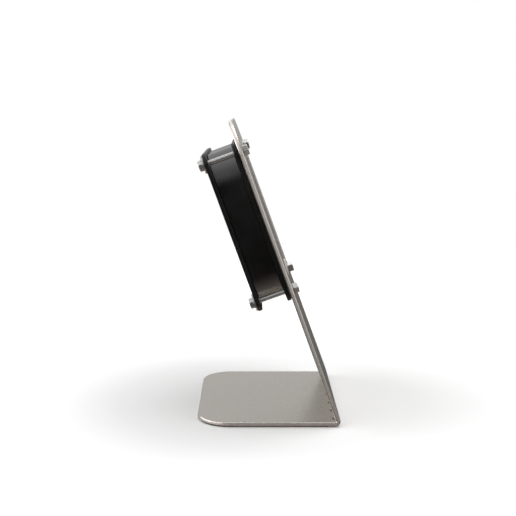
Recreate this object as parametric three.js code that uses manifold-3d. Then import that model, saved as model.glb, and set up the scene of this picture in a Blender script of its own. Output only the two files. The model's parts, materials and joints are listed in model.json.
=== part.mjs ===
import * as THREE from "three";
import { mergeVertices } from "three/addons/utils/BufferGeometryUtils.js";
import Module from "manifold-3d";

// Tabletop touchscreen kiosk, in millimetres: a folded steel stand with a window in its upright,
// and a display clamped behind the window between two black plates by four long bolts.
// +Z is up, the user faces the -Y side, and the origin is on the floor in the middle of the footprint.
//
// The upright and the display share one leaning frame: x runs across the kiosk, y is the depth
// behind the steel's front face, and z runs up the slope from the corner where front and floor meet.

const GAP = 0.3; // clearance between pieces that touch
const LEAN = THREE.MathUtils.degToRad(20); // the upright's lean back from vertical

// Folded stand
const WIDTH = 190;
const SHEET = 4;
const BASE_DEPTH = 145; // from the sharp corner of front and floor to the rear edge
const UPRIGHT_LENGTH = 319.5; // up the slope
const CORNER_RADIUS = 33; // rear corners of the base and top corners of the upright
const BEND_INSIDE = 1;
const BEND_OUTSIDE = BEND_INSIDE + SHEET;
const BEND_Y = (BEND_OUTSIDE * (1 + Math.sin(LEAN))) / Math.cos(LEAN); // bend axis behind the corner
const CORNER_Y = -(BASE_DEPTH + BEND_Y - BEND_OUTSIDE) / 2; // centres the footprint on the origin
const SCREEN_CENTRE = 220; // up the slope, for the window, the glass and the display panel
const WINDOW = { width: 104, height: 134, radius: 3 };
const SLOT = { count: 7, pitch: 27, length: 9, width: 2.4, behindCorner: 8 };

// Anti-slip pad under the base, behind the slots
const PAD = { thickness: 1, inset: 2, behindCorner: 14 };

// Bolts that clamp the display to the upright, with places up the slope
const BOLT = { across: 130, low: 142, high: 288, shank: 5.4, hole: 6.4 };
const HEAD = { corners: 11.5, height: 4 };
const NUT = { corners: 11.5, height: 5, bore: 6 };
const WASHER = { diameter: 18, thickness: 1.6 };

// Clamp plates and what they hold
const PLATE = { width: 150, height: 166, thickness: 4, radius: 10 };
const PLATE_CENTRE = (BOLT.low + BOLT.high) / 2;
const HOUSING = { width: 144, height: 160, wall: 2, radius: 33 }; // its corners clear the bolts
const HOUSING_BOTTOM = PLATE_CENTRE - HOUSING.height / 2;
const GLASS = { width: 112.4, height: 140.4, thickness: 3, radius: 3 };
const LCD = { width: 104, height: 138, thickness: 6, radius: 1 };
const VENT = { count: 6, pitch: 9, length: 60, width: 3, centre: 262 };

// Depths behind the steel's front face, from front to back
const GASKET = { front: SHEET + GAP, back: SHEET + 1 };
const FRONT_PLATE = GASKET.back + GAP;
const FRONT_PLATE_BACK = FRONT_PLATE + PLATE.thickness;
const HOUSING_FRONT = FRONT_PLATE_BACK + GAP;
const LCD_FRONT = FRONT_PLATE + GLASS.thickness + GAP;
const CHASSIS = LCD_FRONT + LCD.thickness + GAP;
const CHASSIS_BACK = CHASSIS + 1.2;
const POST_FRONT = CHASSIS_BACK + GAP;
const BOARD = POST_FRONT + 5 + GAP;
const BOARD_BACK = BOARD + 1.4;
const ON_BOARD = BOARD_BACK + GAP; // front of the pieces that sit on a circuit board
const REAR_PLATE = 36;
const REAR_PLATE_BACK = REAR_PLATE + PLATE.thickness;
const HOUSING_BACK = REAR_PLATE - GAP;
const WASHER_FRONT = REAR_PLATE_BACK + GAP;
const HEAD_FRONT = WASHER_FRONT + WASHER.thickness + GAP;

// Inside the housing
const POST = { side: 9, pilot: 3, deep: 8, apart: 86 }; // apart up the slope
const POST_X = HOUSING.width / 2 - HOUSING.wall - POST.side / 2;
const POST_UP = [PLATE_CENTRE - POST.apart / 2, PLATE_CENTRE + POST.apart / 2];
const MAIN_BOARD = {
  x: 0,
  up: 245,
  width: 85,
  height: 56,
  holes: [[-39, -24.5], [39, -24.5], [-39, 24.5], [39, 24.5]],
};
const DRIVER_BOARD = { x: -14, up: 195, width: 66, height: 22, holes: [[-30, 0], [30, 0]] };
const BOARD_HOLE = 2.6;
const TOUCH_FLEX = { x: -22, width: 10, thickness: 0.3, low: 149.9, high: 190 };
const INLET = { x: 0, depth: 26, body: 10.6, hole: 11.2, flange: 14 };
const BUTTON = { x: 40, up: 170, body: 12, hole: 12.6, bore: 9.6, cap: 9, flange: 15 };

// Curve fineness: a quarter-turn arc has twice this many sides, and so has a half circle
const ARC = 5;
const SMALL_ARC = 3;
const TURNED_SIDES = 24;
const SMALL_SIDES = 12;

const wasm = await Module();
wasm.setup();

const look = (color, roughness, metalness) =>
  new THREE.MeshStandardMaterial({ color, roughness, metalness, flatShading: true });

const STEEL = look(0xa79f95, 0.38, 0.9);
const BRIGHT = look(0xc9c9c6, 0.3, 1);
const BLACK = look(0x14120f, 0.5, 0.1);
const GLOSS = look(0x0a0b0d, 0.08, 0);
const RUBBER = look(0x1b1b1b, 0.9, 0);
const ZINC = look(0xb9bbbd, 0.4, 0.9);
const BOARD_GREEN = look(0x14502f, 0.6, 0.1);
const CHIP = look(0x1d1d20, 0.5, 0);
const FILM = look(0xb57a2c, 0.5, 0.1);

// ---- Solids

function solidOf(geometry) {
  const bare = geometry.clone();
  bare.deleteAttribute("normal");
  bare.deleteAttribute("uv");
  const merged = mergeVertices(bare, 1e-4);
  return new wasm.Manifold(
    new wasm.Mesh({
      numProp: 3,
      vertProperties: merged.attributes.position.array,
      triVerts: new Uint32Array(merged.index.array),
    }),
  );
}

function geometryOf(solid) {
  const { vertProperties, triVerts } = solid.getMesh();
  return new THREE.BufferGeometry()
    .setAttribute("position", new THREE.BufferAttribute(vertProperties, 3))
    .setIndex(new THREE.BufferAttribute(triVerts, 1));
}

const cut = (body, tools) =>
  geometryOf(tools.reduce((rest, tool) => rest.subtract(solidOf(tool)), solidOf(body)));

const join = (first, others) =>
  geometryOf(others.reduce((sum, piece) => sum.add(solidOf(piece)), solidOf(first)));

// ---- Outlines

function roundedRect(width, height, radius, x = 0, y = 0) {
  const right = x + width / 2 - radius;
  const left = x - width / 2 + radius;
  const top = y + height / 2 - radius;
  const bottom = y - height / 2 + radius;
  return new THREE.Shape()
    .absarc(right, top, radius, 0, Math.PI / 2)
    .absarc(left, top, radius, Math.PI / 2, Math.PI)
    .absarc(left, bottom, radius, Math.PI, Math.PI * 1.5)
    .absarc(right, bottom, radius, Math.PI * 1.5, Math.PI * 2);
}

// A slot with round ends along x, and a round hole when its length is its width.
function slot(length, width, x = 0, y = 0) {
  const reach = (length - width) / 2;
  return new THREE.Shape()
    .absarc(x + reach, y, width / 2, -Math.PI / 2, Math.PI / 2)
    .absarc(x - reach, y, width / 2, Math.PI / 2, Math.PI * 1.5);
}

const disc = (diameter, x = 0, y = 0) => slot(diameter, diameter, x, y);

function hexagon(corners) {
  const tips = Array.from({ length: 6 }, (_, i) => {
    const turn = (i * Math.PI) / 3;
    return new THREE.Vector2(Math.cos(turn), Math.sin(turn)).multiplyScalar(corners / 2);
  });
  return new THREE.Shape(tips);
}

function withHoles(shape, holes) {
  shape.holes.push(...holes);
  return shape;
}

// ---- Pieces of the leaning frame

const extrude = (shape, depth, curveSegments = ARC) =>
  new THREE.ExtrudeGeometry(shape, { depth, bevelEnabled: false, curveSegments });

// An outline across the depth, from front to back: its y is the height up the slope.
const plate = (shape, front, back, curveSegments = ARC) =>
  extrude(shape, back - front, curveSegments).rotateX(Math.PI / 2).translate(0, back, 0);

const block = (width, height, front, back, x, up) =>
  new THREE.BoxGeometry(width, back - front, height).translate(x, (front + back) / 2, up);

const pin = (diameter, front, back, x, up, sides = TURNED_SIDES) =>
  new THREE.CylinderGeometry(diameter / 2, diameter / 2, back - front, sides)
    .translate(x, (front + back) / 2, up);

// A piece turned about the y axis, from [radius, place along the axis] points, axis to axis.
const turned = (profile, sides = SMALL_SIDES) =>
  new THREE.LatheGeometry(profile.map(([r, y]) => new THREE.Vector2(r, y)), sides);

// A round lead along points, straight at both ends.
function lead(points, diameter) {
  const path = new THREE.CatmullRomCurve3(points.map((p) => new THREE.Vector3(...p)));
  const section = new THREE.Shape(
    Array.from({ length: 8 }, (_, i) => {
      const turn = (i * Math.PI) / 4;
      return new THREE.Vector2(Math.cos(turn), Math.sin(turn)).multiplyScalar(diameter / 2);
    }),
  );
  return new THREE.ExtrudeGeometry(section, { steps: 20, extrudePath: path });
}

// ---- The model

const kiosk = new THREE.Group();
const leaning = new THREE.Group();
leaning.position.set(0, CORNER_Y, PAD.thickness);
leaning.rotation.x = -LEAN;
leaning.updateMatrix();
kiosk.add(leaning);

function add(name, geometry, material, group = leaning) {
  const mesh = new THREE.Mesh(geometry, material);
  mesh.name = name;
  group.add(mesh);
}

const boltPlaces = [BOLT.low, BOLT.high].flatMap((up) =>
  [-1, 1].map((side) => ({ x: (side * BOLT.across) / 2, up })),
);
const postPlaces = POST_UP.flatMap((up) => [-1, 1].map((side) => ({ x: side * POST_X, up })));
const boltHoles = (diameter) => boltPlaces.map(({ x, up }) => disc(diameter, x, up));

// ---- Stand

// The side view of the folded sheet, in y from the sharp corner and z from the underside.
function foldProfile() {
  const upSlope = new THREE.Vector2(Math.sin(LEAN), Math.cos(LEAN));
  const behind = new THREE.Vector2(Math.cos(LEAN), -Math.sin(LEAN));
  const topFront = upSlope.multiplyScalar(UPRIGHT_LENGTH);
  const topBack = topFront.clone().addScaledVector(behind, SHEET);
  return new THREE.Shape()
    .moveTo(BASE_DEPTH, 0)
    .absarc(BEND_Y, BEND_OUTSIDE, BEND_OUTSIDE, -Math.PI / 2, Math.PI - LEAN, true)
    .lineTo(topFront.x, topFront.y)
    .lineTo(topBack.x, topBack.y)
    .absarc(BEND_Y, BEND_OUTSIDE, BEND_INSIDE, Math.PI - LEAN, Math.PI * 1.5, false)
    .lineTo(BASE_DEPTH, SHEET);
}

// What a round corner leaves of the square corner at (side * WIDTH / 2, end).
function cornerWaste(side, end) {
  const margin = 1;
  const centre = side * (WIDTH / 2 - CORNER_RADIUS);
  const outside = side * (WIDTH / 2 + margin);
  const turnEnd = side > 0 ? 0 : Math.PI;
  return new THREE.Shape()
    .moveTo(outside, end - CORNER_RADIUS)
    .lineTo(outside, end + margin)
    .lineTo(centre, end + margin)
    .absarc(centre, end - CORNER_RADIUS, CORNER_RADIUS, Math.PI / 2, turnEnd, side > 0);
}

function stand() {
  const margin = 1;
  const sheet = extrude(foldProfile(), WIDTH, SMALL_ARC)
    .rotateX(Math.PI / 2)
    .rotateZ(Math.PI / 2)
    .translate(-WIDTH / 2, CORNER_Y, PAD.thickness);

  const slots = Array.from({ length: SLOT.count }, (_, i) => {
    const x = (i - (SLOT.count - 1) / 2) * SLOT.pitch;
    return slot(SLOT.length, SLOT.width, x, SLOT.behindCorner);
  });
  const baseCuts = [...slots, cornerWaste(-1, BASE_DEPTH), cornerWaste(1, BASE_DEPTH)].map((shape) =>
    extrude(shape, SHEET + 2 * margin).translate(0, CORNER_Y, PAD.thickness - margin),
  );

  const uprightCuts = [
    roundedRect(WINDOW.width, WINDOW.height, WINDOW.radius, 0, SCREEN_CENTRE),
    ...boltHoles(BOLT.hole),
    cornerWaste(-1, UPRIGHT_LENGTH),
    cornerWaste(1, UPRIGHT_LENGTH),
  ].map((shape) => plate(shape, -margin, SHEET + margin).applyMatrix4(leaning.matrix));

  return cut(sheet, [...baseCuts, ...uprightCuts]);
}

function basePad() {
  const half = WIDTH / 2 - PAD.inset;
  const rear = BASE_DEPTH - PAD.inset;
  const radius = CORNER_RADIUS - PAD.inset;
  const outline = new THREE.Shape()
    .moveTo(-half, PAD.behindCorner)
    .lineTo(half, PAD.behindCorner)
    .absarc(half - radius, rear - radius, radius, 0, Math.PI / 2)
    .absarc(radius - half, rear - radius, radius, Math.PI / 2, Math.PI);
  return extrude(outline, PAD.thickness).translate(0, CORNER_Y, 0);
}

add("stand", stand(), STEEL, kiosk);
add("base_pad", basePad(), RUBBER, kiosk);

// ---- Clamp plates, gasket and glass

const plateOutline = () =>
  roundedRect(PLATE.width, PLATE.height, PLATE.radius, 0, PLATE_CENTRE);

function plateGasket() {
  const inset = 1;
  const outline = roundedRect(
    PLATE.width - 2 * inset,
    PLATE.height - 2 * inset,
    PLATE.radius - inset,
    0,
    PLATE_CENTRE,
  );
  const opening = roundedRect(WINDOW.width + 1, WINDOW.height + 1, WINDOW.radius, 0, SCREEN_CENTRE);
  return plate(withHoles(outline, [opening, ...boltHoles(BOLT.hole)]), GASKET.front, GASKET.back);
}

function frontPlate() {
  const opening = roundedRect(
    GLASS.width + 2 * GAP,
    GLASS.height + 2 * GAP,
    GLASS.radius + GAP,
    0,
    SCREEN_CENTRE,
  );
  return plate(
    withHoles(plateOutline(), [opening, ...boltHoles(BOLT.hole)]),
    FRONT_PLATE,
    FRONT_PLATE_BACK,
  );
}

const COUNTERSINK = { wide: 3, narrow: 1.5, deep: 1.5 };

function rearPlate() {
  const vents = Array.from({ length: VENT.count }, (_, i) => {
    const up = VENT.centre + (i - (VENT.count - 1) / 2) * VENT.pitch;
    return slot(VENT.length, VENT.width, 0, up);
  });
  const screwHoles = postPlaces.map(({ x, up }) => disc(2 * (COUNTERSINK.narrow + GAP), x, up));
  const outline = withHoles(plateOutline(), [
    ...boltHoles(BOLT.hole),
    ...vents,
    ...screwHoles,
    disc(BUTTON.hole, BUTTON.x, BUTTON.up),
  ]);
  const { wide, narrow, deep } = COUNTERSINK;
  const sinks = postPlaces.map(({ x, up }) =>
    turned([
      [0, REAR_PLATE_BACK - deep - GAP],
      [narrow + GAP, REAR_PLATE_BACK - deep - GAP],
      [wide + 2 * GAP, REAR_PLATE_BACK],
      [wide + 2 * GAP, REAR_PLATE_BACK + 1],
      [0, REAR_PLATE_BACK + 1],
    ]).translate(x, 0, up),
  );
  return cut(plate(outline, REAR_PLATE, REAR_PLATE_BACK, SMALL_ARC), sinks);
}

add("plate_gasket", plateGasket(), RUBBER);
add("front_plate", frontPlate(), BLACK);
add(
  "touch_glass",
  plate(
    roundedRect(GLASS.width, GLASS.height, GLASS.radius, 0, SCREEN_CENTRE),
    FRONT_PLATE,
    FRONT_PLATE + GLASS.thickness,
    SMALL_ARC,
  ),
  GLOSS,
);
add("rear_plate", rearPlate(), BLACK);

// ---- Housing

function housing() {
  const { width, height, wall, radius } = HOUSING;
  const inner = roundedRect(width - 2 * wall, height - 2 * wall, radius - wall, 0, PLATE_CENTRE);
  const outline = roundedRect(width, height, radius, 0, PLATE_CENTRE);
  const ring = plate(withHoles(outline, [inner]), HOUSING_FRONT, HOUSING_BACK);

  // Each post reaches into the wall beside it, and stays clear of the rear plate.
  const root = 1;
  const posts = postPlaces.map(({ x, up }) => {
    const middle = x + (Math.sign(x) * root) / 2;
    return block(POST.side + root, POST.side, POST_FRONT, HOUSING_BACK - GAP, middle, up);
  });
  const pilots = postPlaces.flatMap(({ x, up }) => [
    pin(POST.pilot, POST_FRONT - 1, POST_FRONT + POST.deep, x, up, SMALL_SIDES),
    pin(POST.pilot + GAP, HOUSING_BACK - POST.deep, HOUSING_BACK, x, up, SMALL_SIDES),
  ]);
  const drill = INLET.hole / 2;
  const inletHole = new THREE.CylinderGeometry(drill, drill, 3 * wall, TURNED_SIDES)
    .rotateX(Math.PI / 2)
    .translate(INLET.x, INLET.depth, HOUSING_BOTTOM + wall / 2);
  return cut(join(ring, posts), [...pilots, inletHole]);
}

// A countersunk screw through the rear plate into a post.
const rearScrew = () => {
  const head = REAR_PLATE_BACK - GAP;
  const tip = HOUSING_BACK - POST.deep + 1;
  const shaft = POST.pilot / 2 - GAP;
  return turned([
    [0, tip],
    [shaft, tip],
    [shaft, head - COUNTERSINK.deep],
    [COUNTERSINK.wide, head],
    [0, head],
  ]);
};

// A pan-head screw through the chassis plate into the front of a post.
const chassisScrew = () => {
  const under = CHASSIS - GAP;
  const shaft = POST.pilot / 2 - GAP;
  return turned([
    [0, under - 1.7],
    [1.6, under - 1.7],
    [2.4, under - 1.1],
    [2.4, under],
    [shaft, under],
    [shaft, POST_FRONT + POST.deep - 1],
    [0, POST_FRONT + POST.deep - 1],
  ]);
};

add("housing", housing(), BLACK);
postPlaces.forEach(({ x, up }, i) => {
  add("rear_screw_" + (i + 1), rearScrew().translate(x, 0, up), BLACK);
  add("chassis_screw_" + (i + 1), chassisScrew().translate(x, 0, up), ZINC);
});

// ---- Clamping bolts, nuts and washers

// Each hexagon stops where it happens to tighten, so every one has its own turn.
const HEAD_TURNS = [8, 34, 15, 47].map(THREE.MathUtils.degToRad);
const NUT_TURNS = [22, 5, 40, 12].map(THREE.MathUtils.degToRad);

function bolt(turn) {
  const tip = -NUT.height - 2 * GAP;
  const head = plate(hexagon(HEAD.corners), HEAD_FRONT, HEAD_FRONT + HEAD.height).rotateY(turn);
  const overlap = HEAD.height / 2;
  return join(head, [pin(BOLT.shank, tip, HEAD_FRONT + overlap, 0, 0)]);
}

const nut = (turn) =>
  plate(withHoles(hexagon(NUT.corners), [disc(NUT.bore)]), -NUT.height - GAP, -GAP).rotateY(turn);

function washer() {
  const outline = withHoles(disc(WASHER.diameter), [disc(BOLT.hole)]);
  return plate(outline, WASHER_FRONT, WASHER_FRONT + WASHER.thickness);
}

boltPlaces.forEach(({ x, up }, i) => {
  add("bolt_" + (i + 1), bolt(HEAD_TURNS[i]).translate(x, 0, up), BRIGHT);
  add("nut_" + (i + 1), nut(NUT_TURNS[i]).translate(x, 0, up), BRIGHT);
  add("washer_" + (i + 1), washer().translate(x, 0, up), BRIGHT);
});

// ---- Display panel and the plate that carries it

function chassisPlate() {
  const clear = HOUSING.wall + GAP;
  const outline = roundedRect(
    HOUSING.width - 2 * clear,
    HOUSING.height - 2 * clear,
    HOUSING.radius - clear,
    0,
    PLATE_CENTRE,
  );
  const holes = postPlaces.map(({ x, up }) => disc(POST.pilot, x, up));
  const opening = block(
    TOUCH_FLEX.width + 2,
    8,
    CHASSIS - 1,
    CHASSIS_BACK + 1,
    TOUCH_FLEX.x,
    TOUCH_FLEX.low - 2,
  );
  return cut(plate(withHoles(outline, holes), CHASSIS, CHASSIS_BACK), [opening]);
}

add(
  "lcd_panel",
  plate(
    roundedRect(LCD.width, LCD.height, LCD.radius, 0, SCREEN_CENTRE),
    LCD_FRONT,
    LCD_FRONT + LCD.thickness,
    SMALL_ARC,
  ),
  GLOSS,
);
add("chassis_plate", chassisPlate(), ZINC);

// ---- Circuit boards on standoffs

const standoff = () =>
  plate(withHoles(hexagon(5), [disc(BOARD_HOLE)]), POST_FRONT, BOARD - GAP, SMALL_ARC);

const boardScrew = () =>
  turned([
    [0, BOARD - 4],
    [0.95, BOARD - 4],
    [0.95, ON_BOARD],
    [2.2, ON_BOARD],
    [2.2, ON_BOARD + 1],
    [1.4, ON_BOARD + 1.6],
    [0, ON_BOARD + 1.6],
  ]);

function addBoard(name, { x, up, width, height, holes }) {
  const outline = roundedRect(width, height, 2, x, up);
  const drilled = holes.map(([dx, dz]) => disc(BOARD_HOLE, x + dx, up + dz));
  add(name + "_board", plate(withHoles(outline, drilled), BOARD, BOARD_BACK, SMALL_ARC), BOARD_GREEN);
  holes.forEach(([dx, dz], i) => {
    add(`${name}_standoff_${i + 1}`, standoff().translate(x + dx, 0, up + dz), ZINC);
    add(`${name}_screw_${i + 1}`, boardScrew().translate(x + dx, 0, up + dz), ZINC);
  });
}

// A comb of fins standing on a base, its fins running up the slope.
function heatsink() {
  const size = 24;
  const baseThickness = 2;
  const finHeight = 6;
  const fin = 1.5;
  const fins = 6;
  const pitch = (size - fin) / (fins - 1);
  const outline = new THREE.Shape().moveTo(-size / 2, 0);
  for (let i = 0; i < fins; i++) {
    const left = -size / 2 + i * pitch;
    outline
      .lineTo(left, baseThickness)
      .lineTo(left, baseThickness + finHeight)
      .lineTo(left + fin, baseThickness + finHeight)
      .lineTo(left + fin, baseThickness);
  }
  outline.lineTo(size / 2, 0);
  return extrude(outline, size).translate(0, 0, -size / 2);
}

// A shell with its mouth to the right, around a blind recess.
function usbSocket() {
  const wall = 1;
  const back = ON_BOARD + 7;
  const outer = block(14, 13, ON_BOARD, back, 0, 0);
  const recess = block(14, 13 - 2 * wall, ON_BOARD + wall, back - wall, 3, 0);
  return cut(outer, [recess]);
}

addBoard("main", MAIN_BOARD);
addBoard("driver", DRIVER_BOARD);
add("processor", block(14, 14, ON_BOARD, ON_BOARD + 1, 0, MAIN_BOARD.up), CHIP);
add("heatsink", heatsink().translate(0, ON_BOARD + 1 + GAP, MAIN_BOARD.up), ZINC);
add("usb_socket", usbSocket().translate(34, 0, 255), ZINC);

// The ribbon arches from one board to the other.
function displayRibbon() {
  const width = 16;
  const span = { low: 203.5, high: 219.5 };
  const centre = (span.low + span.high) / 2;
  const outside = (span.high - span.low) / 2;
  const arch = new THREE.Shape()
    .absarc(ON_BOARD, centre, outside, -Math.PI / 2, Math.PI / 2, false)
    .absarc(ON_BOARD, centre, outside - 0.3, Math.PI / 2, -Math.PI / 2, true);
  return extrude(arch, width)
    .rotateX(Math.PI / 2)
    .rotateZ(Math.PI / 2)
    .translate(DRIVER_BOARD.x - width / 2, 0, 0);
}

// The touch film's tail leaves the glass under the panel, and turns up to the driver board.
function touchFlex() {
  const { x, width, thickness, low, high } = TOUCH_FLEX;
  const bend = 2;
  const run = BOARD - 0.4 - thickness; // depth of the stretch in front of the driver board
  const tail = new THREE.Shape()
    .moveTo(LCD_FRONT, low)
    .absarc(run + thickness - bend, low + bend, bend, -Math.PI / 2, 0, false)
    .lineTo(run + thickness, high)
    .lineTo(run, high)
    .absarc(run + thickness - bend, low + bend, bend - thickness, 0, -Math.PI / 2, true)
    .lineTo(LCD_FRONT, low + thickness);
  return extrude(tail, width)
    .rotateX(Math.PI / 2)
    .rotateZ(Math.PI / 2)
    .translate(x - width / 2, 0, 0);
}

add("display_ribbon", displayRibbon(), FILM);
add("touch_flex", touchFlex(), FILM);

// ---- Power inlet in the housing's underside, its mouth facing down the slope

function powerInlet() {
  const mouth = HOUSING_BOTTOM - GAP - 1.5;
  const end = HOUSING_BOTTOM + 16;
  return turned(
    [
      [0, mouth + 1],
      [1, mouth + 1],
      [1, end - 4],
      [2.9, end - 4],
      [2.9, mouth],
      [INLET.flange / 2, mouth],
      [INLET.flange / 2, mouth + 1.5],
      [INLET.body / 2, mouth + 1.5],
      [INLET.body / 2, end],
      [0, end],
    ],
    TURNED_SIDES,
  )
    .rotateX(Math.PI / 2)
    .translate(INLET.x, INLET.depth, 0);
}

const inletNut = () =>
  extrude(withHoles(hexagon(16), [disc(INLET.body + 2 * GAP)]), 2)
    .translate(INLET.x, INLET.depth, HOUSING_BOTTOM + HOUSING.wall + GAP);

const HEADER_UP = MAIN_BOARD.up - MAIN_BOARD.height / 2 + 5;
const POWER_HEADER_X = -30;
const BUTTON_HEADER_X = 28;
const HEADER = { width: 8, height: 5, tall: 6 };

const header = (x) =>
  block(HEADER.width, HEADER.height, ON_BOARD, ON_BOARD + HEADER.tall, x, HEADER_UP);

const headerEntry = (x) => [
  [x, ON_BOARD + HEADER.tall / 2 + 1, HEADER_UP - HEADER.height / 2 - GAP - 6],
  [x, ON_BOARD + HEADER.tall / 2, HEADER_UP - HEADER.height / 2 - GAP],
];

add("power_inlet", powerInlet(), BLACK);
add("inlet_nut", inletNut(), ZINC);
add("power_header", header(POWER_HEADER_X), CHIP);
add(
  "inlet_lead",
  lead(
    [
      [INLET.x, INLET.depth, HOUSING_BOTTOM + 16 + GAP],
      [INLET.x, INLET.depth + 1, HOUSING_BOTTOM + 24],
      [-12, INLET.depth + 4, DRIVER_BOARD.up - 6],
      [-24, INLET.depth + 4, DRIVER_BOARD.up + 8],
      ...headerEntry(POWER_HEADER_X),
    ],
    2.4,
  ),
  RUBBER,
);

// ---- Power button in the rear plate

const BUTTON_FRONT = 27;
const BORE_FLOOR = 33;
const FLANGE_BACK = REAR_PLATE_BACK + GAP + 1.5;

const buttonHousing = () =>
  turned(
    [
      [0, BUTTON_FRONT],
      [BUTTON.body / 2, BUTTON_FRONT],
      [BUTTON.body / 2, REAR_PLATE_BACK + GAP],
      [BUTTON.flange / 2, REAR_PLATE_BACK + GAP],
      [BUTTON.flange / 2, FLANGE_BACK - 0.4],
      [BUTTON.flange / 2 - 0.4, FLANGE_BACK],
      [BUTTON.bore / 2, FLANGE_BACK],
      [BUTTON.bore / 2, BORE_FLOOR],
      [0, BORE_FLOOR],
    ],
    TURNED_SIDES,
  );

// The cap stands 0.6 proud and has 1.8 of clear depth below it in the bore.
const buttonCap = () =>
  turned(
    [
      [0, BORE_FLOOR + 1.8],
      [BUTTON.cap / 2, BORE_FLOOR + 1.8],
      [BUTTON.cap / 2, FLANGE_BACK + 0.2],
      [BUTTON.cap / 2 - 0.4, FLANGE_BACK + 0.6],
      [0, FLANGE_BACK + 0.6],
    ],
    TURNED_SIDES,
  );

const buttonNut = () =>
  plate(withHoles(hexagon(16), [disc(BUTTON.body + 2 * GAP)]), HOUSING_BACK - 2.3, HOUSING_BACK);

const atButton = (geometry) => geometry.translate(BUTTON.x, 0, BUTTON.up);

add("button_housing", atButton(buttonHousing()), BLACK);
add("button_cap", atButton(buttonCap()), BRIGHT);
add("button_nut", atButton(buttonNut()), ZINC);
add("button_header", header(BUTTON_HEADER_X), CHIP);
add(
  "button_lead",
  lead(
    [
      [BUTTON.x, BUTTON_FRONT - GAP, BUTTON.up],
      [BUTTON.x, BUTTON_FRONT - 4, BUTTON.up + 2],
      [BUTTON.x, BUTTON_FRONT - 6, BUTTON.up + 14],
      [BUTTON.x - 4, BUTTON_FRONT - 3, BUTTON.up + 32],
      ...headerEntry(BUTTON_HEADER_X),
    ],
    1.8,
  ),
  RUBBER,
);

export default kiosk;
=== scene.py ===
import json
import math
from collections import namedtuple

import bmesh
import bpy
from mathutils import Matrix, Vector


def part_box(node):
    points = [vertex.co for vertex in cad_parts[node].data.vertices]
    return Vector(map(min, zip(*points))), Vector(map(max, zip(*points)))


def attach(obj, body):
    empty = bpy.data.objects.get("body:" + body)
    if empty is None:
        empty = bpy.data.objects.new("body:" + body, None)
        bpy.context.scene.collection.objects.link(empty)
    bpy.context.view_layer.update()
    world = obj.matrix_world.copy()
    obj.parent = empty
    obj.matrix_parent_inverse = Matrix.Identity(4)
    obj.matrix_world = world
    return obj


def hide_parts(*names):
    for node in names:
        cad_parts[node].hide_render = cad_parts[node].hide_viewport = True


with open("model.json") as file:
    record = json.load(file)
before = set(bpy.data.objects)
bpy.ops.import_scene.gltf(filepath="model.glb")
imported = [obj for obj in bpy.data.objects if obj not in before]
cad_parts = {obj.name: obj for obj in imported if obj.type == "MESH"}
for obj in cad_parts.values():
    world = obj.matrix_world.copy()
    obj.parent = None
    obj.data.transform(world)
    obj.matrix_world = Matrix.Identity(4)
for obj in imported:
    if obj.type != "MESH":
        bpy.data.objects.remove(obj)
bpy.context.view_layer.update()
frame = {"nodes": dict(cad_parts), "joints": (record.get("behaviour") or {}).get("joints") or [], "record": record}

# A tabletop touchscreen kiosk: a folded steel stand, and a display bolted behind its window.
# Everything is in metres. The user faces the -Y side.

MM = 0.001
BODY = "kiosk"

# ---- The stand's fold, and the leaning frame that it shares with the display

BEND_INSIDE = 1 * MM
SHEET = 4 * MM
BEND_OUTSIDE = BEND_INSIDE + SHEET
LEAN = math.asin(frame["joints"][0]["axis"][2])  # the button presses square to the upright
BEND_REACH = BEND_OUTSIDE * (1 + math.sin(LEAN)) / math.cos(LEAN)  # from the sharp corner

stand_low, stand_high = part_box("stand")
CORNER = Vector((0, stand_low.y - (BEND_REACH - BEND_OUTSIDE), stand_low.z))
HALF_WIDTH = stand_high.x
BASE_DEPTH = stand_high.y - CORNER.y
UPRIGHT_LENGTH = (stand_high.z - CORNER.z) / math.cos(LEAN)
CORNER_RADIUS = 33 * MM

# x runs across, y is the depth behind the steel's front face, z runs up the slope.
SLOPE = Matrix.Translation(CORNER) @ Matrix.Rotation(-LEAN, 4, "X")

Box = namedtuple("Box", "left right front back low high x depth up")  # the last three: its middle


def slope_box(node):
    """A CAD node's box in the leaning frame."""
    into = SLOPE.inverted()
    places = [into @ v.co for v in frame["nodes"][node].data.vertices]
    low = [min(p[i] for p in places) for i in range(3)]
    high = [max(p[i] for p in places) for i in range(3)]
    middle = [(a + b) / 2 for a, b in zip(low, high)]
    return Box(low[0], high[0], low[1], high[1], low[2], high[2], *middle)


# ---- Outlines: closed lists of (x, y) points, anticlockwise

QUARTER = math.pi / 2


def arc(x, y, radius, start, end, steps):
    turns = [start + (end - start) * i / steps for i in range(steps + 1)]
    return [(x + radius * math.cos(a), y + radius * math.sin(a)) for a in turns]


def rounded_rect(left, right, low, high, radius, steps=12):
    corners = [(left, low, 1, 1), (right, low, -1, 1), (right, high, -1, -1), (left, high, 1, -1)]
    points = []
    for i, (x, y, dx, dy) in enumerate(corners):
        start = math.pi + i * QUARTER
        points += arc(x + dx * radius, y + dy * radius, radius, start, start + QUARTER, steps)
    return points


def circle(x, y, radius, steps=48):
    return arc(x, y, radius, 0, 2 * math.pi, steps)[:-1]


def slot(x, y, length, width, steps=12):
    reach = (length - width) / 2
    right = arc(x + reach, y, width / 2, -QUARTER, QUARTER, steps)
    left = arc(x - reach, y, width / 2, QUARTER, 3 * QUARTER, steps)
    return right + left


def inset(points, distance):
    """The outline moved inwards, each point along the line that halves its corner."""
    moved = []
    for i, here in enumerate(points):
        here = Vector(here)
        into = (here - Vector(points[i - 1])).normalized()
        out = (Vector(points[(i + 1) % len(points)]) - here).normalized()
        normal = Vector((-into.y - out.y, into.x + out.x)).normalized()
        square = Vector((-into.y, into.x)).dot(normal)
        moved.append(here + normal * distance / square)
    return moved


# ---- Meshes

BEVEL_STEPS = 3
HOLE_BEVEL = 0.3 * MM
SHARP_ANGLE = math.radians(40)
RING_STEPS = 72


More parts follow.
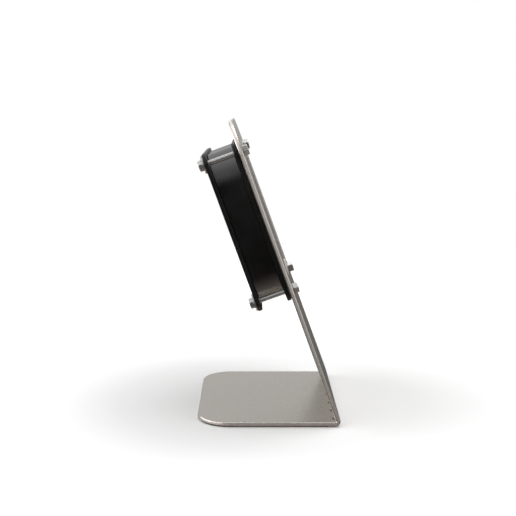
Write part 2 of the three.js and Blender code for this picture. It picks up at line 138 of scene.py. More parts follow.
def new_object(name, bm, materials):
    """A finished object from a bmesh, shaded smooth where it is round and flat where it is flat."""
    bmesh.ops.remove_doubles(bm, verts=bm.verts, dist=1e-6)
    bmesh.ops.recalc_face_normals(bm, faces=bm.faces)
    mesh = bpy.data.meshes.new(name)
    bm.to_mesh(mesh)
    bm.free()
    for material in materials:
        mesh.materials.append(material)
    mesh.shade_smooth()
    mesh.set_sharp_from_angle(angle=SHARP_ANGLE)
    obj = bpy.data.objects.new(name, mesh)
    bpy.context.scene.collection.objects.link(obj)
    weighted = obj.modifiers.new("weighted_normals", "WEIGHTED_NORMAL")
    weighted.keep_sharp = True
    return obj


def slab(outline, holes, thickness, bevel, hole_bevel=HOLE_BEVEL):
    """A bmesh plate from z = 0 to thickness. Its edges are rounded, its side walls have material 1."""
    bm = bmesh.new()
    turns = [QUARTER * i / BEVEL_STEPS for i in range(BEVEL_STEPS + 1)]
    ends = [], []
    for loop, round_off, inwards in [(outline, bevel, 1)] + [(h, hole_bevel, -1) for h in holes]:
        edge = [(round_off * (1 - math.sin(a)), round_off * (1 - math.cos(a))) for a in turns]
        profile = edge + [(back, thickness - height) for back, height in reversed(edge)]
        rings = [
            [bm.verts.new((*point, height)) for point in inset(loop, inwards * back)]
            for back, height in profile
        ]
        for step, (a, b) in enumerate(zip(rings, rings[1:])):
            for i in range(len(loop)):
                face = bm.faces.new((a[i - 1], a[i], b[i], b[i - 1]))
                face.material_index = int(step == BEVEL_STEPS)
        for end, rim in zip(ends, (rings[0], rings[-1])):
            end += [bm.edges.get((rim[i - 1], rim[i])) for i in range(len(rim))]
    for end in ends:
        bmesh.ops.triangle_fill(bm, use_beauty=True, use_dissolve=False, edges=end)
    return bm


def plate(name, outline, holes, front, back, bevel, material):
    """A slab in the leaning frame, from depth front to depth back, its outline's y up the slope."""
    bm = slab(outline, holes, back - front, bevel, min(bevel, HOLE_BEVEL))
    stood = Matrix.Rotation(QUARTER, 4, "X")
    bm.transform(SLOPE @ Matrix.Translation((0, back, 0)) @ stood)
    return new_object(name, bm, [material, material])


def ring(depth, radius, flats=math.inf, turn=0.0):
    """Points round the y axis: a circle, cut off by the flats of a hexagon where they are given."""
    points = []
    for i in range(RING_STEPS):
        angle = 2 * math.pi * i / RING_STEPS
        off_flat = (angle + math.radians(30)) % math.radians(60) - math.radians(30)
        reach = min(radius, flats / 2 / math.cos(off_flat))
        points.append((reach * math.cos(angle + turn), depth, reach * math.sin(angle + turn)))
    return points


def revolved(name, rings, place, material, closed=False):
    """A skin through the rings in turn, and from the last to the first where it is closed."""
    bm = bmesh.new()
    made = [[bm.verts.new(point) for point in points] for points in rings]
    for a, b in zip(made, made[1:] + made[:1] if closed else made[1:]):
        for i in range(RING_STEPS):
            bm.faces.new((a[i - 1], a[i], b[i], b[i - 1]))
    bm.transform(place)
    return new_object(name, bm, [material])


def on_slope(x, up, depth=0.0):
    """The leaning frame, moved to a place in it."""
    return SLOPE @ Matrix.Translation((x, depth, up))


def finish_piece(obj, node, body=BODY):
    """Puts the object on its body, in place of a CAD node."""
    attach(obj, body)
    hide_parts(node)


# ---- Materials


class Nodes:
    """The nodes of one material, or of the world."""

    def __init__(self, owner):
        owner.use_nodes = True
        self.nodes = owner.node_tree.nodes
        self.links = owner.node_tree.links

    def node(self, kind, values=(), **settings):
        made = self.nodes.new(kind)
        for key, value in settings.items():
            setattr(made, key, value)
        for socket, value in dict(values).items():
            if isinstance(value, bpy.types.NodeSocket):
                self.links.new(value, made.inputs[socket])
            else:
                made.inputs[socket].default_value = value
        return made

    def between(self, value, low, high):
        """A share from 0 at low to 1 at high."""
        values = {"Value": value, "From Min": low, "From Max": high}
        return self.node("ShaderNodeMapRange", values).outputs["Result"]

    def ramp(self, factor, stops):
        """A colour ramp from (position, colour) stops."""
        made = self.node("ShaderNodeValToRGB", {"Fac": factor})
        elements = made.color_ramp.elements
        while len(elements) < len(stops):
            elements.new(0.5)
        for element, (position, color) in zip(elements, stops):
            element.position = position
            element.color = (*color, 1)
        return made.outputs["Color"]


NOISE_LOW, NOISE_HIGH = 0.3, 0.7  # a noise texture seldom leaves this range


class Look(Nodes):
    """A Principled material and the few nodes that its patterns need."""

    def __init__(self, name, color, roughness, metallic=0.0, **sockets):
        self.material = bpy.data.materials.new(name)
        super().__init__(self.material)
        self.shader = self.nodes["Principled BSDF"]
        self.shader.inputs["Base Color"].default_value = (*color, 1)
        self.shader.inputs["Roughness"].default_value = roughness
        self.shader.inputs["Metallic"].default_value = metallic
        for socket, value in sockets.items():
            self.shader.inputs[socket.replace("_", " ")].default_value = value

    def coordinates(self, output="Object", scale=(1, 1, 1), turn=0.0):
        source = self.node("ShaderNodeTexCoord").outputs[output]
        values = {"Vector": source, "Scale": scale, "Rotation": (turn, 0, 0)}
        return self.node("ShaderNodeMapping", values).outputs["Vector"]

    def noise(self, vector, scale, detail=3.0, roughness=0.5):
        values = {"Vector": vector, "Scale": scale, "Detail": detail, "Roughness": roughness}
        return self.node("ShaderNodeTexNoise", values).outputs["Fac"]

    def base_color(self, color):
        self.links.new(color, self.shader.inputs["Base Color"])

    def color(self, noise, dark, light):
        self.base_color(self.ramp(noise, [(NOISE_LOW, dark), (NOISE_HIGH, light)]))

    def roughness(self, noise, low, high):
        values = {"Value": noise, "From Min": NOISE_LOW, "From Max": NOISE_HIGH}
        values |= {"To Min": low, "To Max": high}
        result = self.node("ShaderNodeMapRange", values).outputs["Result"]
        self.links.new(result, self.shader.inputs["Roughness"])

    def bump(self, noise, height):
        values = {"Height": noise, "Distance": height, "Strength": 1.0}
        normal = self.node("ShaderNodeBump", values).outputs["Normal"]
        self.links.new(normal, self.shader.inputs["Normal"])


def tinted(color, factor):
    """The colour made lighter or darker."""
    return tuple(min(1, c * factor) for c in color)


def brushed(name, color, roughness, output="UV", grain=(1, 0.02, 1)):
    """Sheet metal with a fine grain along one axis and a faint cloudiness."""
    look = Look(name, color, roughness, 1.0)
    fine = look.noise(look.coordinates(output, grain), 3600, 4)
    broad = look.noise(look.coordinates(output), 14, 3)
    both = look.node("ShaderNodeMix", {0: 0.3, 2: fine, 3: broad}).outputs[0]
    look.color(both, tinted(color, 0.98), tinted(color, 1.02))
    look.roughness(fine, roughness - 0.02, roughness + 0.02)
    look.bump(fine, 0.0005 * MM)
    return look.material


def cut_edge(name, color):
    """The laser-cut edge of a sheet, with striations through its thickness."""
    look = Look(name, color, 0.5, 1.0)
    lines = look.noise(look.coordinates("UV"), 900, 4)
    look.color(lines, tinted(color, 0.94), tinted(color, 1.06))
    look.roughness(lines, 0.5, 0.6)
    look.bump(lines, 0.003 * MM)
    return look.material


def turned_metal(name, color, roughness):
    """Bright machined metal, with faint rings round the bolts' axis and a few stains."""
    look = Look(name, color, roughness, 1.0)
    rings = look.noise(look.coordinates("Object", (0.03, 1, 0.03), -LEAN), 5000, 3)
    stains = look.noise(look.coordinates(), 400, 4)
    look.color(stains, tinted(color, 0.82), tinted(color, 1.06))
    look.roughness(rings, roughness - 0.05, roughness + 0.08)
    look.bump(rings, 0.004 * MM)
    return look.material


def coated(name, color, roughness, cell, height, **sockets):
    """Paint or moulded plastic: a fine skin of the given cell size, and slight patches of sheen."""
    look = Look(name, color, roughness, 0.0, **sockets)
    where = look.coordinates()
    skin = look.noise(where, 1 / cell, 2)
    patches = look.noise(where, 35, 4)
    look.color(patches, tinted(color, 0.8), tinted(color, 1.25))
    look.roughness(patches, roughness - 0.05, roughness + 0.05)
    look.bump(skin, height)
    return look.material


STEEL = (0.555, 0.523, 0.477)
steel_face = brushed("steel_face", STEEL, 0.27)
steel_edge = cut_edge("steel_edge", (0.75, 0.69, 0.655))
bright = turned_metal("bright_stainless", (0.66, 0.665, 0.66), 0.31)
zinc = turned_metal("zinc_plate", (0.62, 0.62, 0.6), 0.34)
fin_metal = brushed("anodised_fins", (0.42, 0.43, 0.46), 0.4, "Object", (1, 1, 0.05))
plate_black = coated(
    "powder_coat", (0.004, 0.0034, 0.003), 0.36, 0.5 * MM, 0.01 * MM, Specular_IOR_Level=0.4
)
housing_black = coated(
    "housing_black", (0.002, 0.0018, 0.0018), 0.21, 0.25 * MM, 0.0006 * MM, Specular_IOR_Level=1.0,
    IOR=1.7,
)
screw_black = coated("black_oxide", (0.018, 0.018, 0.02), 0.38, 0.3 * MM, 0.004 * MM)
part_black = coated("black_moulding", (0.015, 0.015, 0.015), 0.45, 0.3 * MM, 0.01 * MM)
rubber = coated("rubber", (0.012, 0.012, 0.012), 0.85, 0.4 * MM, 0.03 * MM)
lead_jacket = coated("lead_jacket", (0.014, 0.014, 0.014), 0.55, 0.5 * MM, 0.01 * MM)
solder_mask = coated("solder_mask", (0.015, 0.11, 0.05), 0.35, 0.8 * MM, 0.02 * MM)
amber_film = coated("amber_film", (0.42, 0.2, 0.04), 0.3, 0.6 * MM, 0.004 * MM)
screen_back = coated("panel_black", (0.01, 0.01, 0.012), 0.2, 0.4 * MM, 0.002 * MM)


def screen_glass(name, box, border_width):
    """Cover glass: a black printed border round the darker sheen of an unlit panel."""
    look = Look(name, (0.006, 0.006, 0.008), 0.06, 0.0, Coat_Weight=0.6, Coat_Roughness=0.03)
    split = look.node("ShaderNodeSeparateXYZ", {"Vector": look.coordinates("UV")})
    middle = (box.x, box.up)
    half = ((box.right - box.left) / 2 - border_width, (box.high - box.low) / 2 - border_width)
    reach = []
    for axis, centre, size in zip("XY", middle, half):
        off = look.node("ShaderNodeMath", {0: split.outputs[axis], 1: centre}, operation="SUBTRACT")
        off = look.node("ShaderNodeMath", {0: off.outputs[0]}, operation="ABSOLUTE")
        over = look.node("ShaderNodeMath", {0: off.outputs[0], 1: size}, operation="SUBTRACT")
        reach.append(over.outputs[0])
    outside = look.node("ShaderNodeMath", {0: reach[0], 1: reach[1]}, operation="MAXIMUM")
    border = look.between(outside.outputs[0], -0.1 * MM, 0.1 * MM)
    smudges = look.noise(look.coordinates(), 45, 5, 0.6)
    panel = look.ramp(smudges, [(0.35, (0.008, 0.0085, 0.011)), (0.75, (0.012, 0.0125, 0.016))])
    mix = {0: border, 6: panel, 7: (0.003, 0.003, 0.003, 1)}  # the colour sockets of a mix node
    look.base_color(look.node("ShaderNodeMix", mix, data_type="RGBA").outputs[2])
    look.roughness(smudges, 0.04, 0.11)
    return look.material


# ---- The stand: a flat blank with its holes, folded

BOLT_PLACES = [slope_box(f"washer_{i}") for i in range(1, 5)]
BOLT_HOLE = 3.2 * MM
WINDOW_WIDTH, WINDOW_HEIGHT, WINDOW_RADIUS = 104 * MM, 134 * MM, 3 * MM
glass_box = slope_box("touch_glass")
window = rounded_rect(
    -WINDOW_WIDTH / 2,
    WINDOW_WIDTH / 2,
    glass_box.up - WINDOW_HEIGHT / 2,
    glass_box.up + WINDOW_HEIGHT / 2,
    WINDOW_RADIUS,
)

FOLD_TURN = QUARTER + LEAN
FOLD_LENGTH = FOLD_TURN * (BEND_INSIDE + BEND_OUTSIDE) / 2  # along the middle of the sheet
FOLD_STEPS = 14
BLANK_TO_SLOPE = BEND_REACH - FOLD_LENGTH  # from a place on the blank to its height up the slope


def folded(place):
    """Where a point of the blank comes to lie. The blank's y is 0 where the bend starts."""
    x, along, height = place
    if along > FOLD_LENGTH:
        return SLOPE @ Vector((x, height, along + BLANK_TO_SLOPE))
    if along < 0:
        return CORNER + Vector((x, BEND_REACH - along, height))
    angle = -QUARTER - FOLD_TURN * along / FOLD_LENGTH
    radius = BEND_OUTSIDE - height
    middle = CORNER + Vector((x, BEND_REACH, BEND_OUTSIDE))
    return middle + Vector((0, radius * math.cos(angle), radius * math.sin(angle)))


SLOTS, SLOT_PITCH, SLOT_LENGTH, SLOT_WIDTH = 7, 27 * MM, 9 * MM, 2.4 * MM
SLOT_BEHIND_CORNER = 8 * MM
SHEET_BEVEL = 1 * MM
PAD_BEVEL = 0.25 * MM


def stand():
    rear = BEND_REACH - BASE_DEPTH
    top = UPRIGHT_LENGTH - BLANK_TO_SLOPE
    outline = rounded_rect(-HALF_WIDTH, HALF_WIDTH, rear, top, CORNER_RADIUS, 20)
    up_slope = [window] + [circle(b.x, b.up, BOLT_HOLE) for b in BOLT_PLACES]
    holes = [[(x, y - BLANK_TO_SLOPE) for x, y in loop] for loop in up_slope]
    for i in range(SLOTS):
        x = (i - (SLOTS - 1) / 2) * SLOT_PITCH
        holes.append(slot(x, BEND_REACH - SLOT_BEHIND_CORNER, SLOT_LENGTH, SLOT_WIDTH, 8))
    bm = slab(outline, holes, SHEET, SHEET_BEVEL)
    for i in range(FOLD_STEPS + 1):
        cut = (0, FOLD_LENGTH * i / FOLD_STEPS, 0)
        everything = bm.verts[:] + bm.edges[:] + bm.faces[:]
        bmesh.ops.bisect_plane(bm, geom=everything, dist=1e-7, plane_co=cut, plane_no=(0, 1, 0))
    blank = bm.loops.layers.uv.new("blank")
    for face in bm.faces:
        for loop in face.loops:
            loop[blank].uv = loop.vert.co.xy
    for vert in bm.verts:
        vert.co = folded(vert.co)
    return new_object("stand_sheet", bm, [steel_face, steel_edge])


finish_piece(stand(), "stand")


def base_pad():
    low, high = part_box("base_pad")
    radius = CORNER_RADIUS - (HALF_WIDTH - high.x)
    rear = arc(high.x - radius, high.y - radius, radius, 0, QUARTER, 20)
    rear += arc(low.x + radius, high.y - radius, radius, QUARTER, 2 * QUARTER, 20)
    front = [(low.x, low.y), (high.x, low.y)]
    bm = slab(front + rear, [], high.z - low.z, PAD_BEVEL)
    bm.transform(Matrix.Translation((0, 0, low.z)))
    return new_object("base_pad_skin", bm, [rubber, rubber])


finish_piece(base_pad(), "base_pad")

# ---- Plates, gasket and glass

PLATE_RADIUS = 10 * MM
PLATE_BEVEL = 0.5 * MM


def plate_outline(box, radius=PLATE_RADIUS):
    return rounded_rect(box.left, box.right, box.low, box.high, radius, 16)


def bolt_holes():
    return [circle(b.x, b.up, BOLT_HOLE, 32) for b in BOLT_PLACES]


def front_plate():
    box = slope_box("front_plate")
    gap = 0.3 * MM
    g = glass_box
    opening = rounded_rect(g.left - gap, g.right + gap, g.low - gap, g.high + gap, WINDOW_RADIUS)
    holes = [opening] + bolt_holes()
    outline = plate_outline(box)
    return plate("front_clamp_plate", outline, holes, box.front, box.back, PLATE_BEVEL, plate_black)


VENTS, VENT_PITCH, VENT_LENGTH, VENT_WIDTH, VENT_UP = 6, 9 * MM, 60 * MM, 3 * MM, 262 * MM
BUTTON_HOLE = 6.3 * MM
SCREW_PLACES = [slope_box(f"rear_screw_{i}") for i in range(1, 5)]


def rear_plate():
    box = slope_box("rear_plate")
    button = slope_box("button_housing")
    gap = 0.2 * MM
    holes = bolt_holes() + [circle(button.x, button.up, BUTTON_HOLE)]
    holes += [circle(s.x, s.up, (s.right - s.left) / 2 + gap, 32) for s in SCREW_PLACES]
    for i in range(VENTS):
        up = VENT_UP + (i - (VENTS - 1) / 2) * VENT_PITCH
        holes.append(slot(0, up, VENT_LENGTH, VENT_WIDTH))
    outline = plate_outline(box)
    return plate("rear_clamp_plate", outline, holes, box.front, box.back, PLATE_BEVEL, plate_black)


def gasket():
    box = slope_box("plate_gasket")
    set_back, gap, bevel = 1 * MM, 0.5 * MM, 0.1 * MM
    outline = plate_outline(box, PLATE_RADIUS - set_back)
    holes = [inset(window, -gap)] + bolt_holes()
    return plate("gasket_sheet", outline, holes, box.front, box.back, bevel, rubber)


def touch_glass():
    box, border, bevel = glass_box, 6.5 * MM, 0.3 * MM
    outline = rounded_rect(box.left, box.right, box.low, box.high, WINDOW_RADIUS)
    look = screen_glass("cover_glass", box, border)
    piece = plate("cover_glass", outline, [], box.front, box.back, bevel, look)
    flat = piece.data.uv_layers.new(name="face")
    into = SLOPE.inverted()
    for corner in piece.data.loops:
        place = into @ piece.data.vertices[corner.vertex_index].co
        flat.data[corner.index].uv = (place.x, place.z)
    return piece


finish_piece(front_plate(), "front_plate")
finish_piece(rear_plate(), "rear_plate")
finish_piece(gasket(), "plate_gasket")
finish_piece(touch_glass(), "touch_glass")

# ---- Housing


def boolean(obj, cutter, operation):
    """Joins or cuts obj with cutter, for good, and removes the cutter."""
    modifier = obj.modifiers.new("cut", "BOOLEAN")
    modifier.object, modifier.operation, modifier.solver = cutter, operation, "EXACT"
    obj.modifiers.move(len(obj.modifiers) - 1, 0)
    with bpy.context.temp_override(object=obj, active_object=obj, selected_objects=[obj]):
        bpy.ops.object.modifier_apply(modifier=modifier.name)
    bpy.data.objects.remove(cutter)


HOUSING_WALL, HOUSING_RADIUS = 2 * MM, 33 * MM
POST_WIDTH, POST_ROOT, POST_RADIUS, PILOT_RADIUS = 9 * MM, 1 * MM, 0.8 * MM, 1.5 * MM
INLET_HOLE, CUTTER_LENGTH = 5.6 * MM, 6 * MM


def post(spot, front, back):
    """A screw post, whose root reaches into the wall beside it."""
    x = spot.x + math.copysign(POST_ROOT / 2, spot.x)
    across, half = (POST_WIDTH + POST_ROOT) / 2, POST_WIDTH / 2
    around = rounded_rect(x - across, x + across, spot.up - half, spot.up + half, POST_RADIUS, 4)
    pilot = circle(spot.x, spot.up, PILOT_RADIUS, 24)
    return plate("post", around, [pilot], front, back, 0.2 * MM, housing_black)


def housing():
    box = slope_box("housing")
    outline = rounded_rect(box.left, box.right, box.low, box.high, HOUSING_RADIUS, 32)
    inner = inset(outline, HOUSING_WALL)
    piece = plate("housing_shell", outline, [inner], box.front, box.back, PLATE_BEVEL, housing_black)
    chassis = slope_box("chassis_plate")
    for spot in SCREW_PLACES:
        boolean(piece, post(spot, chassis.back + 0.3 * MM, box.back - 0.4 * MM), "UNION")
    inlet = slope_box("power_inlet")
    bm = slab(circle(inlet.x, inlet.depth, INLET_HOLE), [], CUTTER_LENGTH, 0.2 * MM)
    bm.transform(SLOPE @ Matrix.Translation((0, 0, box.low - HOUSING_WALL)))
    boolean(piece, new_object("inlet_drill", bm, [housing_black, housing_black]), "DIFFERENCE")
    piece.data.set_sharp_from_angle(angle=SHARP_ANGLE)
    return piece


finish_piece(housing(), "housing")

# ---- Clamping bolts

SHANK = 2.7 * MM
THREAD_PITCH = 1 * MM
THREAD_DEPTH = 0.35 * MM
THREAD_OVER = 0.15 * MM  # how far a rolled thread stands above the shank
THREAD_END = 8 * MM  # depth behind the steel's face where the thread stops
THREAD_STEPS = 8  # rings to a turn of the thread
LEAD_IN, LEAD_IN_DEPTH = 1.5 * THREAD_PITCH, 0.25 * MM
HEAD_FLATS = 10 * MM
CHAMFER = math.radians(30)
CHAMFER_STEPS = 6
# How far each hexagon happens to be turned, from bolt 1 to bolt 4
HEAD_TURNS = [math.radians(a) for a in (8, 34, 15, 47)]
NUT_TURNS = [math.radians(a) for a in (22, 5, 40, 12)]


def chamfer(depth, into, flats, turn):
    """Rings of a hexagon's end chamfer, from its flat face at depth. into is 1 or -1, its body's side."""
    face = flats * 0.475
    corner = flats / 2 / math.cos(math.radians(30))
    rise = (corner - face) * math.tan(CHAMFER)
    rings = []
    for i in range(CHAMFER_STEPS + 1):
        share = i / CHAMFER_STEPS
        rings.append(ring(depth + into * rise * share, face + (corner - face) * share, flats, turn))
    return rings


def threaded_stretch(start, end, major):
    """Rings with a ridge that moves on from ring to ring, as a thread does."""
    rings = []
    steps = math.ceil((end - start) / THREAD_PITCH * THREAD_STEPS)
    for i in range(steps + 1):
        depth = start + (end - start) * i / steps
        lead_in = min(1, (depth - start) / LEAD_IN)
        points = []
        for j in range(RING_STEPS):
            angle = 2 * math.pi * j / RING_STEPS
            phase = (depth / THREAD_PITCH - j / RING_STEPS) % 1
            crest = abs(2 * phase - 1)
            radius = major - THREAD_DEPTH * (1 - crest) - LEAD_IN_DEPTH * (1 - lead_in)
            points.append((radius * math.cos(angle), depth, radius * math.sin(angle)))
        rings.append(points)
    return rings


def bolt(i, place):
    """A hexagon bolt: its thread, plain shank, round bearing face and slightly hollow head."""
    box = slope_box(f"bolt_{i}")
    turn = HEAD_TURNS[i - 1]
    point, fillet, bearing, hollow = SHANK - 0.9 * MM, 0.3 * MM, HEAD_FLATS * 0.47, 0.05 * MM
    seat = slope_box(f"washer_{i}").back + fillet
    rings = [ring(box.front, 0), ring(box.front, point)]
    rings += threaded_stretch(box.front + 0.3 * MM, THREAD_END, SHANK + THREAD_OVER)
    rings += [ring(THREAD_END + 0.6 * MM, SHANK), ring(seat - fillet, SHANK)]
    rings += [ring(seat, SHANK + fillet), ring(seat, bearing)]
    rings += [ring(seat + 0.15 * MM, HEAD_FLATS, HEAD_FLATS, turn)]
    rings += reversed(chamfer(box.back, -1, HEAD_FLATS, turn))
    rings += [ring(box.back - hollow, HEAD_FLATS * 0.4), ring(box.back - hollow, 0)]
    made = revolved(f"clamp_bolt_{i}", rings, place, bright)
    made.visible_glossy = False  # no dark streaks where the rods pass the glossy housing
    return made


def nut(i, place):
    box = slope_box(f"nut_{i}")
    turn = NUT_TURNS[i - 1]
    bore, relief = 3.05 * MM, 0.35 * MM
    rings = [ring(box.front + relief, bore), ring(box.front, bore + relief)]
    rings += chamfer(box.front, 1, HEAD_FLATS, turn)
    rings += reversed(chamfer(box.back, -1, HEAD_FLATS, turn))
    rings += [ring(box.back, bore + relief), ring(box.back - relief, bore)]
    return revolved(f"clamp_nut_{i}", rings, place, bright, closed=True)


def washer(i, place):
    box = slope_box(f"washer_{i}")
    outer, inner, edge = (box.right - box.left) / 2, BOLT_HOLE, 0.25 * MM
    rings = [
        ring(box.front + edge, inner), ring(box.front, inner + edge),
        ring(box.front, outer - edge), ring(box.front + edge * 0.3, outer - edge * 0.3),
        ring(box.front + edge, outer), ring(box.back - edge, outer),
        ring(box.back - edge * 0.3, outer - edge * 0.3), ring(box.back, outer - edge),
        ring(box.back, inner + edge), ring(box.back - edge, inner),
    ]
    return revolved(f"wide_washer_{i}", rings, place, bright, closed=True)


for i, spot in enumerate(BOLT_PLACES, 1):
    here = on_slope(spot.x, spot.up)
    for make, node in ((bolt, "bolt"), (nut, "nut"), (washer, "washer")):
        finish_piece(make(i, here), f"{node}_{i}")

# ---- Screws of the rear plate


def rear_screw(i, spot):
    """A countersunk screw with a hexagon socket."""
    radius, shaft, sink = (spot.right - spot.left) / 2, 1.2 * MM, 1.5 * MM
    socket, socket_depth, edge = 2 * MM, 1.2 * MM, 0.1 * MM
    rings = [
        ring(spot.front, 0), ring(spot.front, shaft - 0.3 * MM), ring(spot.front + 0.4 * MM, shaft),
        ring(spot.back - sink, shaft), ring(spot.back - 0.15 * MM, radius),
        ring(spot.back, radius - edge),
        ring(spot.back, 1, socket + 2 * edge), ring(spot.back - edge, 1, socket),
        ring(spot.back - socket_depth, 1, socket), ring(spot.back - socket_depth - 0.4 * MM, 0),
    ]
    return revolved(f"rear_countersunk_screw_{i}", rings, on_slope(spot.x, spot.up), screw_black)


for i, spot in enumerate(SCREW_PLACES, 1):
    finish_piece(rear_screw(i, spot), f"rear_screw_{i}")

# ---- Power button


def button_housing():
    """A round bezel over the rear plate, and the body behind it, open for the cap."""
    box = slope_box("button_housing")
    body, bore, flange = 6 * MM, 4.8 * MM, (box.right - box.left) / 2
    room_to_travel = 1.8 * MM
    bottom = slope_box("button_cap").front - room_to_travel
    under = slope_box("rear_plate").back + 0.3 * MM
    rings = [
        ring(box.front, 0), ring(box.front, body - 0.5 * MM), ring(box.front + 0.5 * MM, body),
        ring(under, body), ring(under, flange - 0.1 * MM), ring(under + 0.1 * MM, flange),
        ring(box.back - 0.6 * MM, flange), ring(box.back - 0.2 * MM, flange - 0.2 * MM),
        ring(box.back, flange - 0.7 * MM), ring(box.back, bore + 0.3 * MM),
        ring(box.back - 0.3 * MM, bore), ring(bottom, bore), ring(bottom, 0),
    ]
    return revolved("button_bezel", rings, on_slope(box.x, box.up), part_black)


def button_cap():
    """A bright cap with a shallow dish for the fingertip."""
    box = slope_box("button_cap")
    radius, dish = (box.right - box.left) / 2, 0.35 * MM
    rings = [
        ring(box.front, 0), ring(box.front, radius - 0.2 * MM), ring(box.front + 0.2 * MM, radius),
        ring(box.back - 0.4 * MM, radius), ring(box.back - 0.12 * MM, radius - 0.12 * MM),
        ring(box.back, radius - 0.4 * MM),
    ]
    for share in (0.8, 0.6, 0.4, 0.2, 0):
        reach = (radius - 0.4 * MM) * share
        rings.append(ring(box.back - dish * (1 - share ** 2), reach))
    return revolved("button_cap_skin", rings, on_slope(box.x, box.up), bright)


finish_piece(button_housing(), "button_housing")
finish_piece(button_cap(), "button_cap", body="power_button")

# ---- Power inlet under the housing


def power_inlet():
    """A barrel socket that opens downwards, with a pin in its bore."""
    box = slope_box("power_inlet")
    flange, body, bore, pin = (box.right - box.left) / 2, 5.3 * MM, 2.9 * MM, 1 * MM
    mouth, end = box.low, box.high
    under, bottom, tip = mouth + 1.5 * MM, end - 4 * MM, mouth + 1 * MM
    rings = [
        ring(tip + 0.3 * MM, 0), ring(tip, pin * 0.7), ring(tip + 0.3 * MM, pin),
        ring(bottom, pin), ring(bottom, bore), ring(mouth + 0.4 * MM, bore),
        ring(mouth, bore + 0.4 * MM), ring(mouth, flange - 0.3 * MM),
        ring(mouth + 0.3 * MM, flange), ring(under, flange),
        ring(under, body), ring(end - 0.5 * MM, body),
        ring(end, body - 0.5 * MM), ring(end, 0),
    ]
    upwards = Matrix.Rotation(QUARTER, 4, "X")
    return revolved("power_socket", rings, on_slope(box.x, 0, box.depth) @ upwards, part_black)


finish_piece(power_inlet(), "power_inlet")

# ---- Inner pieces that keep their CAD shape

LOOK_OF_SLOT = {
    "zinc_parts": zinc,
    "heatsink_metal": fin_metal,
    "circuit_board": solder_mask,
    "black_parts": part_black,
    "flex_film": amber_film,
    "lead_jacket": lead_jacket,
    "display_panel": screen_back,
}
for part in frame["record"]["subparts"]:
    node = frame["nodes"][part["node"]]
    if not node.hide_render:
        node.data.materials.clear()
        node.data.materials.append(LOOK_OF_SLOT[part["material_slot"]])

# ---- Floor, light and camera

FLOOR_RADIUS = 1.3
PAINTED_SHADE_NEAR = (0.62, 0.62, 0.62)  # painted shade: the floor's colour under the kiosk, darker to deepen the shadow there
WHITE = (0.98, 0.98, 0.98)  # from FADE_END outwards, painted lighter where the softboxes fall off
FADE_START, FADE_END = 0.16, 0.55  # distances from the middle of the floor


def floor():
    """A floor that takes shadows, its colour painted darker under the kiosk as painted shade and lighter further
    out as painted light. Gloss on the kiosk mirrors the studio in its place.
    """
    bm = bmesh.new()
    bmesh.ops.create_circle(bm, cap_ends=True, segments=96, radius=FLOOR_RADIUS)
    look = Look("floor_painted_shade", PAINTED_SHADE_NEAR, 0.9)
    reach = look.node("ShaderNodeVectorMath", {0: look.coordinates()}, operation="LENGTH")
    shade_fade = look.between(reach.outputs["Value"], FADE_START, FADE_END)
    # painted shade and light: the floor's colour runs from dark under the kiosk to white further out
    look.base_color(look.ramp(shade_fade, [(0, PAINTED_SHADE_NEAR), (1, WHITE)]))
    look.roughness(look.noise(look.coordinates(), 3, 2), 0.85, 0.95)
    made = new_object("floor", bm, [look.material])
    made.visible_glossy = False
    return made


floor()


# The studio's brightness by the height of a direction, from -1 straight down to 1 straight up:
# on the side where the camera is, and beyond the kiosk.
CAMERA_SIDE = [
    (-1.0, 0.9), (-0.94, 0.5), (-0.8, 0.28), (-0.6, 0.14), (-0.34, 0.04), (-0.14, 0.01),
    (0.06, 0.05), (0.3, 0.16), (0.7, 0.42), (0.88, 0.7), (1.0, 1.0),
]
FAR_SIDE = [(-1.0, 0.4), (-0.6, 0.1), (-0.06, 0.08), (0.06, 0.55), (0.3, 0.64), (0.6, 0.72), (1.0, 1.0)]
WARM, NEUTRAL = (1.0, 0.83, 0.76), (1, 1, 1)
WARM_BELOW = -0.2  # the height under which the light is warm


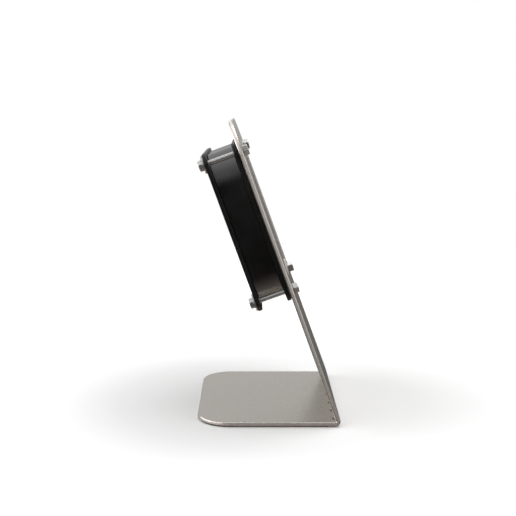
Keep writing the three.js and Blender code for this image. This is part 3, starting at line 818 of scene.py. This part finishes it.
def studio():
    """White where the camera looks past the kiosk, and a soft grey studio for all that it lights."""
    world = bpy.data.worlds.new("studio")
    bpy.context.scene.world = world
    sky = Nodes(world)
    shown = sky.nodes["Background"]
    shown.inputs["Color"].default_value = (1, 1, 1, 1)
    direction = sky.node("ShaderNodeTexCoord").outputs["Generated"]
    axes = sky.node("ShaderNodeSeparateXYZ", {"Vector": direction}).outputs
    upwards = sky.between(axes["Z"], -1, 1)
    sides = []
    for heights in (CAMERA_SIDE, FAR_SIDE):
        stops = []
        for height, shade in heights:
            tint = WARM if height < WARM_BELOW else NEUTRAL
            stops.append(((height + 1) / 2, tinted(tint, shade)))
        sides.append(sky.ramp(upwards, stops))
    mix = {0: sky.between(axes["X"], -0.5, 0.5), 6: sides[0], 7: sides[1]}
    color = sky.node("ShaderNodeMix", mix, data_type="RGBA").outputs[2]
    lit = sky.node("ShaderNodeBackground", {"Color": color})
    to_camera = sky.node("ShaderNodeLightPath").outputs["Is Camera Ray"]
    choice = {"Fac": to_camera, 1: lit.outputs[0], 2: shown.outputs[0]}
    choice = sky.node("ShaderNodeMixShader", choice)
    sky.links.new(choice.outputs[0], sky.nodes["World Output"].inputs["Surface"])


MIDDLE = Vector((0, 0, 0.15))  # where the softboxes point


def softbox(name, place, size, watts):
    light = bpy.data.lights.new(name, "AREA")
    light.shape, light.size, light.size_y = "RECTANGLE", *size
    light.energy = watts
    obj = bpy.data.objects.new(name, light)
    obj.location = place
    obj.rotation_euler = (MIDDLE - Vector(place)).to_track_quat("-Z", "Y").to_euler()
    bpy.context.scene.collection.objects.link(obj)


studio()
softbox("overhead", (0.1, -0.5, 1.7), (1.6, 1.6), 24)
softbox("rear_fill", (0.2, 1.3, 0.5), (1.4, 0.8), 13)
softbox("left_rear", (-1.0, 1.3, 0.5), (1.6, 1.0), 15)
softbox("left_front", (-1.0, -1.3, 0.5), (1.6, 1.0), 8)

LENS, SENSOR = 69.1, 36  # in mm
CAMERA_PLACE = (-1.038, 0.0183, 0.3191)
CAMERA_PITCH = math.radians(8.98)
FRAMING_SHIFT = 0.0156

camera = bpy.data.cameras.new("camera")
camera.lens, camera.sensor_width, camera.shift_x = LENS, SENSOR, FRAMING_SHIFT
view = bpy.data.objects.new("camera", camera)
view.location = CAMERA_PLACE
view.rotation_euler = (QUARTER - CAMERA_PITCH, 0, -QUARTER)
bpy.context.scene.collection.objects.link(view)
bpy.context.scene.camera = view
bpy.context.scene.view_settings.view_transform = "Standard"
